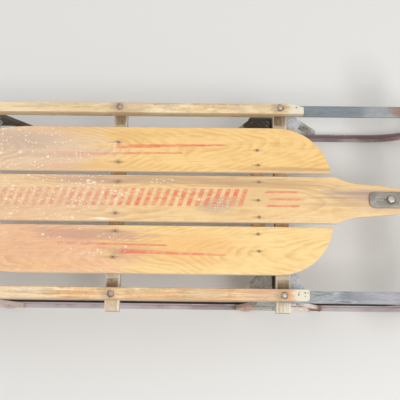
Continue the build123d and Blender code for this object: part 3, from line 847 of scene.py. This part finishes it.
RAIL_PATCHES = {
    # station, reach, strength and colour
    "left": (
        (-0.340, 0.090, 0.40, "#F3DFBC"),
        (-0.225, 0.050, 0.35, "#D8BC92"),
        (-0.125, 0.050, 0.55, "#CDAE86"),
        (0.110, 0.050, 0.35, "#D9C2A0"),
    ),
    "right": (
        (-0.330, 0.110, 0.40, "#F7E6C8"),
        (-0.020, 0.120, 0.20, "#DDB183"),
        (0.030, 0.060, 0.35, "#C9A682"),
        (0.130, 0.050, 0.45, "#C9A58A"),
        (0.177, 0.013, 0.60, "#DD9A70"),
    ),
}
RAIL_WOOD = {
    side_name: rail_finish(
        f"rail_wood_{side_name}", (0.9 * k, 0.2 * k, 0.1), side,
        RAIL_TONES[side_name], RAIL_PATCHES[side_name],
    )
    for k, (side_name, side) in enumerate(SIDES.items())
}
BENCHES = {
    "bench_rear": REAR_BENCH,
    "bench_middle": MIDDLE_BENCH,
    "bench_front": FRONT_BENCH,
    "cleat": CLEAT,
}
BENCH_WOOD = {
    node: bench_finish(f"weathered_{node}", (0.4 * k, 0.23 * k, 0.0), station)
    for k, (node, station) in enumerate(BENCHES.items())
}
HANDLE_WOOD = handle_finish("handle_wood")
PAINTED_BENCH_SHADOW = [
    # Painted shadow in the corner behind each bench, on the knees' flanges
    ((station - 15.5 * MM, side * 0.155, 0.118), (3.6 * MM, 0.030, 0.012), 0.92, "#2B2723")
    for station in (REAR_BENCH, FRONT_BENCH)
    for side in SIDES.values()
]
KNEE_MARKS = [
    # Painted shade with dirt behind the benches, darkest on the left, painted light ahead of them, pinkish
    # feet
    mark
    for station in (REAR_BENCH, FRONT_BENCH)
    for mark in (
        ((station - 42 * MM, -0.152, 0.112), (0.034, 0.028, 0.020), 0.45, "#625B50"),
        ((station - 48 * MM, 0.168, 0.096), (0.060, 0.050, 0.070), 1.00, "#32271F"),
        ((station + 34 * MM, -0.152, 0.110), (0.034, 0.034, 0.026), 0.90, "#C5CCD2"),
        ((station + 34 * MM, 0.170, 0.090), (0.032, 0.036, 0.046), 0.92, "#D6D7DB"),
        ((station - 30 * MM, -0.186, 0.035), (0.030, 0.020, 0.060), 0.70, "#BAB9AE"),
        ((station - 68 * MM, -0.186, 0.035), (0.032, 0.020, 0.070), 0.95, "#C6A595"),
        ((station + 46 * MM, -0.186, 0.035), (0.036, 0.020, 0.070), 0.97, "#EADBD0"),
    )
]
FOOT_RUST_AND_SHADE = [
    # Rust at the right front foot, painted shade on the inner face of the left one, and dusty pink on the
    # right rear foot
    ((FRONT_BENCH + 78 * MM, -0.186, 0.016), (0.019, 0.018, 0.028), 0.92, "#8A6049"),
    ((FRONT_BENCH + 70 * MM, 0.160, 0.055), (0.030, 0.024, 0.040), 0.85, "#5C5145"),
    ((REAR_BENCH + 70 * MM, -0.186, 0.035), (0.050, 0.020, 0.070), 0.95, "#C9B4AE"),
]
REAR_KNEE_DARKENING = [
    # The left rear knee is dark all over ahead of its bench
    ((REAR_BENCH + 52 * MM, 0.170, 0.070), (0.060, 0.044, 0.080), 0.96, "#4B3E33"),
]
KNEE_STEEL = painted_steel(
    "knee_steel", (0, 0, 0), ("#8C8880", "#B4B3AF", "#A0998D", "#C9C6BE"), 0.26,
    KNEE_MARKS + FOOT_RUST_AND_SHADE + PAINTED_BENCH_SHADOW + REAR_KNEE_DARKENING, dust=0.5, gritty=0.6,
)
RUNNER_RED = painted_steel(
    "runner_red", (0.2, 0, 0), ("#846A69", "#978180", "#A99C9B", "#CFC4C8"), 0.24,
    [
        # Painted light on the right runner, which stands in the light, and one duller stretch of it
        ((-0.20, -TRACK, 0.0), (0.30, 0.03, 0.03), 0.75, "#C4B9BC"),
        ((0.30, -TRACK, 0.0), (0.16, 0.03, 0.03), 0.6, "#BDB2B2"),
        ((0.05, -TRACK, 0.0), (0.07, 0.03, 0.03), 0.6, "#8C827F"),
        # Painted shade on the left runner under the deck, rust-brown towards its front
        ((0.23, TRACK, 0.0), (0.12, 0.03, 0.04), 0.70, "#7B6C70"),
        ((0.37, TRACK, 0.04), (0.12, 0.03, 0.05), 0.75, "#7C605C"),
        # Painted shadow in the right runner's inner corner, under the rail
        ((-0.10, -TRACK + 5 * MM, 4 * MM), (0.80, 0.0070, 0.012), 0.95, "#372C2A"),
    ],
    # Strong dust on the up faces, which here is also painted light on the lit tops of the feet
    dust=0.85,
)
BAR_GREY = painted_steel(
    "bar_grey", (0.5, 0.1, 0), ("#80878A", "#989D9F", "#A7AAAA", "#BCBEBE"), 0.2,
    [
        ((0.235, TRACK, 0.14), (0.155, 0.03, 0.03), 0.72, "#727C80"),
        ((0.365, TRACK, 0.14), (0.050, 0.03, 0.03), 0.6, "#A0A2A7"),
        ((0.405, TRACK, 0.14), (0.035, 0.02, 0.02), 0.8, "#96796A"),
        ((0.30, -TRACK, 0.14), (0.045, 0.008, 0.02), 0.45, "#74777A"),
        ((0.37, -TRACK, 0.14), (0.090, 0.03, 0.02), 0.45, "#ADA9B4"),
    ],
    dust=0.25, scored=0.8,
)
PLATE_STEEL = bare_steel("plate_steel", (0.1, 0, 0), ("#968F88", "#ACA69E", "#7B736A"), 0.17)
BOLT_STEEL = bare_steel("bolt_steel", (0.7, 0, 0), ("#ADA69B", "#D2CDC3", "#7A6857"), 0.2)
RIVET_STEEL = bare_steel("rivet_steel", (0.5, 0.2, 0), ("#BCA69B", "#DAC7BB", "#7A6353"), 0.35, 0.4)
WASHER_STEEL = bare_steel("washer_steel", (0.2, 0.5, 0), ("#B69E8C", "#D3BDAD", "#69543F"), 0.35, 0.25)
NAIL_STEEL = bare_steel("nail_steel", (0.3, 0.4, 0), ("#8F6A45", "#A88460", "#6B4B30"), 0.3, 0.1)
DULL_STEEL = bare_steel("dull_steel", (0.1, 0.6, 0), ("#6F655D", "#8C8279", "#51443B"), 0.3, 0.2)


# Deck boards

EDGE = 1.8 * MM
NOSE_RADIUS = 26 * MM
REAR_CORNER = 9 * MM
FRONT_CURVE = 60 * MM
PITCH = 4 * MM


def centre_half(x):
    """Half the centre board's width: straight, then a hollow shoulder, a neck and a round nose."""
    half, neck_half, hollow = 44.5 * MM, 31 * MM, 3.5 * MM
    shoulder = BOARD_TIP + 9 * MM
    neck = shoulder + 53 * MM
    nose_centre = NOSE - NOSE_RADIUS
    if x <= shoulder:
        return half
    if x <= neck:
        # One arc through the shoulder, the hollow and the neck
        share = (x - shoulder) / (neck - shoulder)
        return half + (neck_half - half) * share - 4 * hollow * share * (1 - share)
    if x <= nose_centre:
        return neck_half + (NOSE_RADIUS - neck_half) * (x - neck) / (nose_centre - neck)
    return sqrt(max(NOSE_RADIUS**2 - (x - nose_centre) ** 2, 0))


def side_outer(x):
    """The side board's outer edge: swept in at the rear, straight, then rounded over at the front."""
    round_radius, sweep, sweep_length = 101.5 * MM, 464 * MM, 154 * MM
    round_line = DECK_EDGE - round_radius
    round_start = BOARD_TIP - sqrt(round_radius**2 - (INNER_EDGE - round_line) ** 2)
    edge = DECK_EDGE
    if x > round_start:
        edge = round_line + sqrt(max(round_radius**2 - (x - round_start) ** 2, 0))
    rear = x - DECK_REAR
    if rear < sweep_length:
        edge = DECK_EDGE - sweep + sqrt(sweep**2 - (sweep_length - rear) ** 2)
    if rear < REAR_CORNER:
        edge -= REAR_CORNER - sqrt(REAR_CORNER**2 - (REAR_CORNER - rear) ** 2)
    return max(edge, INNER_EDGE)


def curved_stations(start, end, count):
    """Stations that crowd towards the end, where an outline turns square to the board."""
    return [start + (end - start) * sin(pi / 2 * k / count) for k in range(count + 1)]


centre_stations = graded(DECK_REAR, NOSE - NOSE_RADIUS, PITCH, EDGE, last=False)
centre_stations += curved_stations(NOSE - NOSE_RADIUS, NOSE, 24)
side_stations = graded(DECK_REAR, BOARD_TIP - FRONT_CURVE, PITCH, EDGE, last=False)
side_stations += [DECK_REAR + REAR_CORNER * (1 - cos(radians(a))) for a in range(10, 90, 10)]
side_stations += curved_stations(BOARD_TIP - FRONT_CURVE, BOARD_TIP, 40)
for node, look in DECK_LOOKS.items():
    low, high = (corner.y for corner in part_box(node))
    own_nails = [nail for nail in NAILS if low < nail[1] < high]
    material = deck_finish(f"{node}_wood", look, own_nails)
    if node == "centre_board":
        sides = (centre_stations, lambda x: -centre_half(x), centre_half)
    else:
        sides = (side_stations, lambda x: INNER_EDGE, side_outer)
    shape = plank(*sides, DECK_LOW, DECK_TOP, EDGE, across=16)
    if node == "side_board_right":
        shape = mirrored(shape)
    piece(f"{node}_slat", shape, "frame", material, [node])


# Rails, benches, cleat and steering bar

RAIL_EDGE = 2.4 * MM
RAIL_CORNER, RAIL_INNER_CORNER = 5 * MM, 3 * MM
FACET_LENGTH, FACET_DEPTH = 24 * MM, 6 * MM
REBATE_DEPTH = 5.3 * MM
BENCH_EDGE = 1.6 * MM


def rounded_side(x, start, end, level, radius, sign):
    """A side of a bar whose corners in plan are rounded."""
    near = min(x - start, end - x)
    if near >= radius:
        return level
    return level - sign * (radius - sqrt(max(radius**2 - (radius - near) ** 2, 0)))


def rail_outer(x, side):
    """The rail's outer side. The left rail's front corner is worn down to a long facet."""
    level = rounded_side(x, RAIL_REAR, RAIL_FRONT, RAIL_OUTER, RAIL_CORNER, 1)
    if side > 0:
        level = min(level, RAIL_OUTER - FACET_DEPTH * (x - RAIL_FRONT + FACET_LENGTH) / FACET_LENGTH)
    return level


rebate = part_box("side_bar_left")[0].x - 1 * MM
rail_stations = graded(RAIL_REAR, RAIL_FRONT, 12 * MM, 2.8 * MM) + [rebate - 0.1 * MM, rebate + 0.1 * MM]
for angle in range(15, 90, 15):
    inset = RAIL_CORNER * (1 - cos(radians(angle)))
    rail_stations += [RAIL_REAR + inset, RAIL_FRONT - inset]
rail_stations += [RAIL_FRONT - FACET_LENGTH]
for side_name, side in SIDES.items():
    shape = plank(
        rail_stations,
        lambda x: rounded_side(x, RAIL_REAR, RAIL_FRONT, RAIL_INNER, RAIL_INNER_CORNER, -1),
        lambda x: rail_outer(x, side),
        lambda x: DECK_LOW + (REBATE_DEPTH if x > rebate else 0),
        RAIL_TOP, RAIL_EDGE, across=8,
    )
    if side < 0:
        shape = mirrored(shape)
    wood = RAIL_WOOD[side_name]
    piece(f"side_rail_{side_name}", shape, "frame", wood, [f"rail_{side_name}"])

for node in BENCH_WOOD:
    low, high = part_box(node)
    shape = plank(
        graded(low.y, high.y, 10 * MM, BENCH_EDGE), lambda y: low.x, lambda y: high.x,
        low.z, high.z, BENCH_EDGE, across=8, turned=True, lower_edge=BENCH_EDGE,
    )
    piece(f"{node}_bar", shape, "frame", BENCH_WOOD[node], [node])

softened("steering_bar", "steering_handle", "steering_lever", HANDLE_WOOD, 1.2 * MM, 3)


# Steel parts that keep their solid's shape, with rounded edges

for side_name in SIDES:
    bar = f"side_bar_{side_name}"
    softened(bar, f"steering_link_{side_name}", bar, BAR_GREY)
    for end in ("rear", "front"):
        knee = f"knee_{end}_{side_name}"
        softened(knee, f"pressed_{knee}", "frame", KNEE_STEEL)
softened("bumper", "front_bow", "bumper", BAR_GREY)
softened("steering_plate", "nose_plate", "steering_lever", PLATE_STEEL, 0.8 * MM, 3)


def rounded_path(corners, radius):
    """A line through the corners, with each inner corner rounded off."""
    steps = 7
    path = [Vector(corners[0])]
    for before, corner, after in zip(corners, corners[1:], corners[2:]):
        corner = Vector(corner)
        back, ahead = (Vector(other) - corner for other in (before, after))
        start, end = corner + back.normalized() * radius, corner + ahead.normalized() * radius
        for k in range(steps + 1):
            share = k / steps
            path.append(start * (1 - share) ** 2 + corner * 2 * share * (1 - share) + end * share**2)
    return path + [Vector(corners[-1])]


def bead(path, width, rise, face, side):
    """A half-round rib pressed out of an upright sheet along a line of (x, z) points, its ends fading."""
    points = []
    around = 7
    for k, point in enumerate(path):
        run = (path[min(k + 1, len(path) - 1)] - path[max(k - 1, 0)]).normalized()
        size = 0.15 if k in (0, len(path) - 1) else 1.0
        for j in range(around):
            angle = pi * j / (around - 1)
            off = cos(angle) * width / 2 * size
            out = (sin(angle) * rise * size - 0.2 * MM) * side
            points.append((point.x - run.y * off, face * side + out, point.y + run.x * off))
    return points, closed_skin(len(path), around)


# Each knee has a rib pressed round its arch, a rivet in each foot and two screws up into the bench.
# Its foot stands out from its upright face by the width of a flange
KNEE_FLANGE = 6.7 * MM
KNEE_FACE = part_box("knee_front_left")[1].y - KNEE_FLANGE
RIB_CORNERS = (
    # ahead of the bench, and above the ground
    (-71 * MM, 22 * MM),
    (-51 * MM, 64 * MM),
    (47 * MM, 64 * MM),
    (80 * MM, 22 * MM),
)
RIB_BEND, RIB_WIDTH, RIB_RISE = 14 * MM, 6 * MM, 1.6 * MM
FOOT_RIVETS = (-60 * MM, 57 * MM)
FOOT_RIVET_OUT, FOOT_TOP = 3.2 * MM, 8.8 * MM
KNEE_SCREWS = (0.140, 0.157)
SCREW_FACE = DECK_LOW - 22.3 * MM
ribs, rivets = [], []
for station in (REAR_BENCH, FRONT_BENCH):
    for side in SIDES.values():
        line = rounded_path([(station + x, z) for x, z in RIB_CORNERS], RIB_BEND)
        ribs.append(bead(line, RIB_WIDTH, RIB_RISE, KNEE_FACE, side))
        for ahead in FOOT_RIVETS:
            place = (station + ahead, side * (KNEE_FACE + FOOT_RIVET_OUT), FOOT_TOP)
            rivets.append(turned_shape(domed_head(2.9 * MM, 1.5 * MM), place, 24))
        for out in KNEE_SCREWS:
            hung_head = [(r, -h) for r, h in domed_head(4 * MM, 1.6 * MM)]
            rivets.append(turned_shape(hung_head, (station, side * out, SCREW_FACE), 24))
piece("knee_ribs", join_lists(ribs), "frame", KNEE_STEEL)
piece("knee_rivets", join_lists(rivets), "frame", KNEE_STEEL)


# Runners

RUNNER_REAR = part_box("runner_left")[0].x
TOE_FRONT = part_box("runner_front_left")[1].x
TOE_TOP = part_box("runner_front_left")[1].z

# The foot's thickness, and the radius of its flat end round the tip pin
BASE = 4 * MM
PAD = 10 * MM


def runner_path():
    """The running face's line as (x, z, heading), from the heel to the pad under the side bar's end."""
    curl, curl_angle, toe, bend = 185 * MM, 30, 80 * MM, 10 * MM
    heel, pitch = 20 * MM, 8 * MM
    rise_steps, bend_steps, pad_steps = 6, 8, 16
    flat_end = TOE_FRONT - curl * sin(radians(curl_angle)) - toe * (1 - sin(radians(curl_angle)))
    points = [(RUNNER_REAR + heel * (1 - cos(radians(a))), 0.0, 0.0) for a in range(0, 90, 10)]
    points += [(x, 0.0, 0.0) for x in np.arange(RUNNER_REAR + heel, flat_end, pitch)]
    x, z, heading = flat_end, 0.0, 0.0
    for radius, angle in ((curl, curl_angle), (toe, 90 - curl_angle)):
        before = radians(heading)
        steps = max(6, round(angle / 3))
        for k in range(1, steps + 1):
            turn = before + radians(angle) * k / steps
            ahead, rise = radius * (sin(turn) - sin(before)), radius * (cos(before) - cos(turn))
            points.append((x + ahead, z + rise, turn))
        heading += angle
        x, z = points[-1][:2]
    rise = TOE_TOP - bend - z
    points += [(x, z + rise * k / rise_steps, pi / 2) for k in range(1, rise_steps + 1)]
    z = points[-1][1]
    for k in range(1, bend_steps + 1):
        turn = pi / 2 + pi / 2 * k / bend_steps
        points.append((x - bend + bend * sin(turn), z - bend * cos(turn), turn))
    pad = curved_stations(points[-1][0], TIP_PIN - PAD, pad_steps)
    return points + [(x, TOE_TOP, pi) for x in pad[1:]]


def runner_section(points):
    """For each point of the line: the depth of the web and half the width of the foot."""
    full, foot, heel = 22 * MM, 7.5 * MM, 16 * MM
    taper_low, taper_high = 34 * MM, 112 * MM
    sizes = []
    for x, z, turn in points:
        depth, half = full, foot
        if x < RUNNER_REAR + heel:
            depth = full - heel + sqrt(max(heel**2 - (heel - (x - RUNNER_REAR)) ** 2, 0))
        if z > taper_low:
            share = min((z - taper_low) / (taper_high - taper_low), 1)
            depth = full + (BASE - full) * share * share * (3 - 2 * share)
        if turn > 3:
            # Turned right over by here, the bar is flat and its end is round about the tip pin
            depth = BASE
            half = max(foot if x > TIP_PIN else 0, sqrt(max(PAD**2 - (x - TIP_PIN) ** 2, 0)))
        sizes.append((max(depth, BASE), half))
    return sizes


def runner_shape(side):
    """A T-section with its foot on the ground and its web upright, swept along the runner's line."""
    points = runner_path()
    rings = []
    for (x, z, turn), (depth, half) in zip(points, runner_section(points)):
        web = min(1.25 * MM, half)
        edge = min(0.7 * MM, half * 0.5)
        fillet = min(1.0 * MM, max(depth - BASE, 0) / 2)
        crest = web - min(0.6 * MM, web * 0.5)
        shoulder = max(depth - fillet, BASE)
        right = [
            (half - edge, 0), (half, edge), (half, BASE - edge), (half - edge, BASE),
            (web + fillet, BASE), (web, BASE + fillet), (web, shoulder), (crest, depth),
        ]
        outline = [(-half + edge, 0)] + right + [(-y, d) for y, d in right[:0:-1]]
        rings.append([(x - sin(turn) * d, side * (TRACK + y), z + cos(turn) * d) for y, d in outline])
    return [point for ring in rings for point in ring], closed_skin(len(rings), len(rings[0]))


for side_name, side in SIDES.items():
    runner = piece(
        f"steel_runner_{side_name}", runner_shape(side), None, RUNNER_RED,
        [f"runner_{side_name}", f"runner_front_{side_name}"], smooth=30,
    )
    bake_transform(runner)


# Bolts, rivets and nails

# How far a small head is sunk into the wood, and how deep its root goes
SUNK = 0.05 * MM
ROOT = 1 * MM


def fastener(name, parts, steel, body="frame", replaced=()):
    """A piece of steel heads, rings, nuts and shanks."""
    piece(name, join_lists(parts), body, steel, replaced)


heads = []
for x, y in NAILS:
    head = domed_head(2.3 * MM, 0.35 * MM, sink=ROOT)
    heads.append(turned_shape(head, (x, y, DECK_TOP - SUNK), 20))
fastener("deck_nails", heads, NAIL_STEEL)

RAIL_RIVETS = (REAR_BENCH, MIDDLE_BENCH + 1 * MM)
RIVET_LINE = 0.1795
heads, washers = [], []
for side in SIDES.values():
    for station in RAIL_RIVETS:
        place = (station, side * RIVET_LINE, RAIL_TOP - 2 * SUNK)
        washers.append(turned_shape(washer(2.4 * MM, 4.9 * MM, 0.6 * MM), place))
        heads.append(turned_shape(domed_head(2.9 * MM, 1.0 * MM, 0.3 * MM, ROOT), place))
    place = (FRONT_BENCH, side * TRACK, RAIL_TOP)
    washers.append(turned_shape(washer(2.8 * MM, 5.2 * MM, 0.9 * MM), place))
fastener("rail_rivets", heads, RIVET_STEEL)
fastener("rail_washers", washers, WASHER_STEEL)

RAIL_TACKS = (
    # forward, sideways and radius
    (0.1895, -0.1782, 1.5 * MM),
    (0.1903, -0.1743, 1.1 * MM),
    (0.2011, -0.1745, 1.5 * MM),
    (0.2062, -0.1748, 1.1 * MM),
    (0.2009, -0.1808, 1.0 * MM),
    (0.1950, 0.1810, 1.5 * MM),
)
heads = []
for x, y, radius in RAIL_TACKS:
    head = domed_head(radius, 0.4 * MM, sink=ROOT)
    heads.append(turned_shape(head, (x, y, RAIL_TOP - SUNK), 16))
fastener("rail_tacks", heads, DULL_STEEL)

for side_name, side in SIDES.items():
    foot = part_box(f"rail_bolt_{side_name}")[0].z
    x, y = FRONT_BENCH, side * TRACK
    parts = [
        turned_shape(domed_head(3.4 * MM, 1.4 * MM, 0.5 * MM, ROOT), (x, y, RAIL_TOP)),
        turned_shape(shank(3.2 * MM, foot, RAIL_TOP), (x, y, 0), 32),
    ]
    fastener(f"link_bolt_{side_name}", parts, BOLT_STEEL, replaced=[f"rail_bolt_{side_name}"])

PIN_RADIUS = 4 * MM
PINS = (
    # the node, the piece's name, the body that it rides on, and its place
    ("tip_pin_left", "tip_rivet_left", "side_bar_left", TIP_PIN, TRACK),
    ("tip_pin_right", "tip_rivet_right", "side_bar_right", TIP_PIN, -TRACK),
    ("tongue_pin", "tongue_rivet", "steering_lever", TONGUE_PIN, 0.0),
)
for node, name, body, x, y in PINS:
    low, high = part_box(node)
    parts = [
        turned_shape(shank(PIN_RADIUS, low.z + ROOT, high.z - ROOT), (x, y, 0), 32),
        turned_shape(domed_head(7 * MM, 2.2 * MM, 0.3 * MM), (x, y, high.z - 2.5 * MM)),
        hex_nut(7 * MM, 2.5 * MM, (x, y, low.z), 0.3),
    ]
    fastener(name, parts, BOLT_STEEL, body, [node])

low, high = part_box("nose_bolt")
plate_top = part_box("steering_plate")[1].z
parts = [
    turned_shape(shank(PIN_RADIUS, low.z + ROOT, high.z - 2 * ROOT), (NOSE_BOLT, 0, 0), 32),
    hex_nut(6 * MM, 2.8 * MM, (NOSE_BOLT, 0, plate_top + 1.5 * MM), 0.2),
    hex_nut(7 * MM, 5.0 * MM, (NOSE_BOLT, 0, low.z), 0.5),
]
fastener("nose_pivot_bolt", parts, BOLT_STEEL, replaced=["nose_bolt"])
nose_ring = turned_shape(washer(4.2 * MM, 8.5 * MM, 1.2 * MM), (NOSE_BOLT, 0, plate_top + 0.3 * MM))
fastener("nose_washer", [nose_ring], DULL_STEEL)


# Floor, light and camera

FLOOR_HALF = 6.0
mesh = bpy.data.meshes.new("studio_floor")
corners = [(FLOOR_HALF * x, FLOOR_HALF * y, 0) for x, y in ((-1, -1), (1, -1), (1, 1), (-1, 1))]
mesh.from_pydata(corners, [], [(0, 1, 2, 3)])
mesh.materials.append(Finish("pale_floor").close(linear("#E4E3E0"), 0.9))
floor = bpy.data.objects.new("studio_floor", mesh)
bpy.context.scene.collection.objects.link(floor)


def lamp(name, place, target, size, power):
    """A round soft lamp that faces its target."""
    light = bpy.data.lights.new(name, "AREA")
    light.shape = "DISK"
    light.size = size
    light.energy = power
    made = bpy.data.objects.new(name, light)
    made.location = place
    made.rotation_euler = (Vector(target) - Vector(place)).to_track_quat("-Z", "Y").to_euler()
    bpy.context.scene.collection.objects.link(made)


lamp("key", (1.1, -1.0, 2.4), (0, 0, 0.1), 1.3, 36)
lamp("fill", (-1.6, 1.2, 2.2), (0, 0, 0.1), 2.2, 12)

world = bpy.data.worlds.new("studio")
bpy.context.scene.world = world
world.use_nodes = True
backdrop = world.node_tree.nodes["Background"]
backdrop.inputs["Color"].default_value = (1.0, 1.0, 1.0, 1.0)
backdrop.inputs["Strength"].default_value = 0.6

# The camera that the edges of the photo's slats, rails, bars and runners fit
camera_data = bpy.data.cameras.new("photo_camera")
camera_data.lens = 60.15
camera_data.sensor_width = 36
camera_data.clip_start = 0.05
camera = bpy.data.objects.new("photo_camera", camera_data)
camera.location = (0.024, -0.34907, 1.34128)
camera.rotation_euler = (0.2826, 0.0059, 0.0131)
bpy.context.scene.collection.objects.link(camera)
bpy.context.scene.camera = camera
bpy.context.scene.view_settings.view_transform = "Standard"
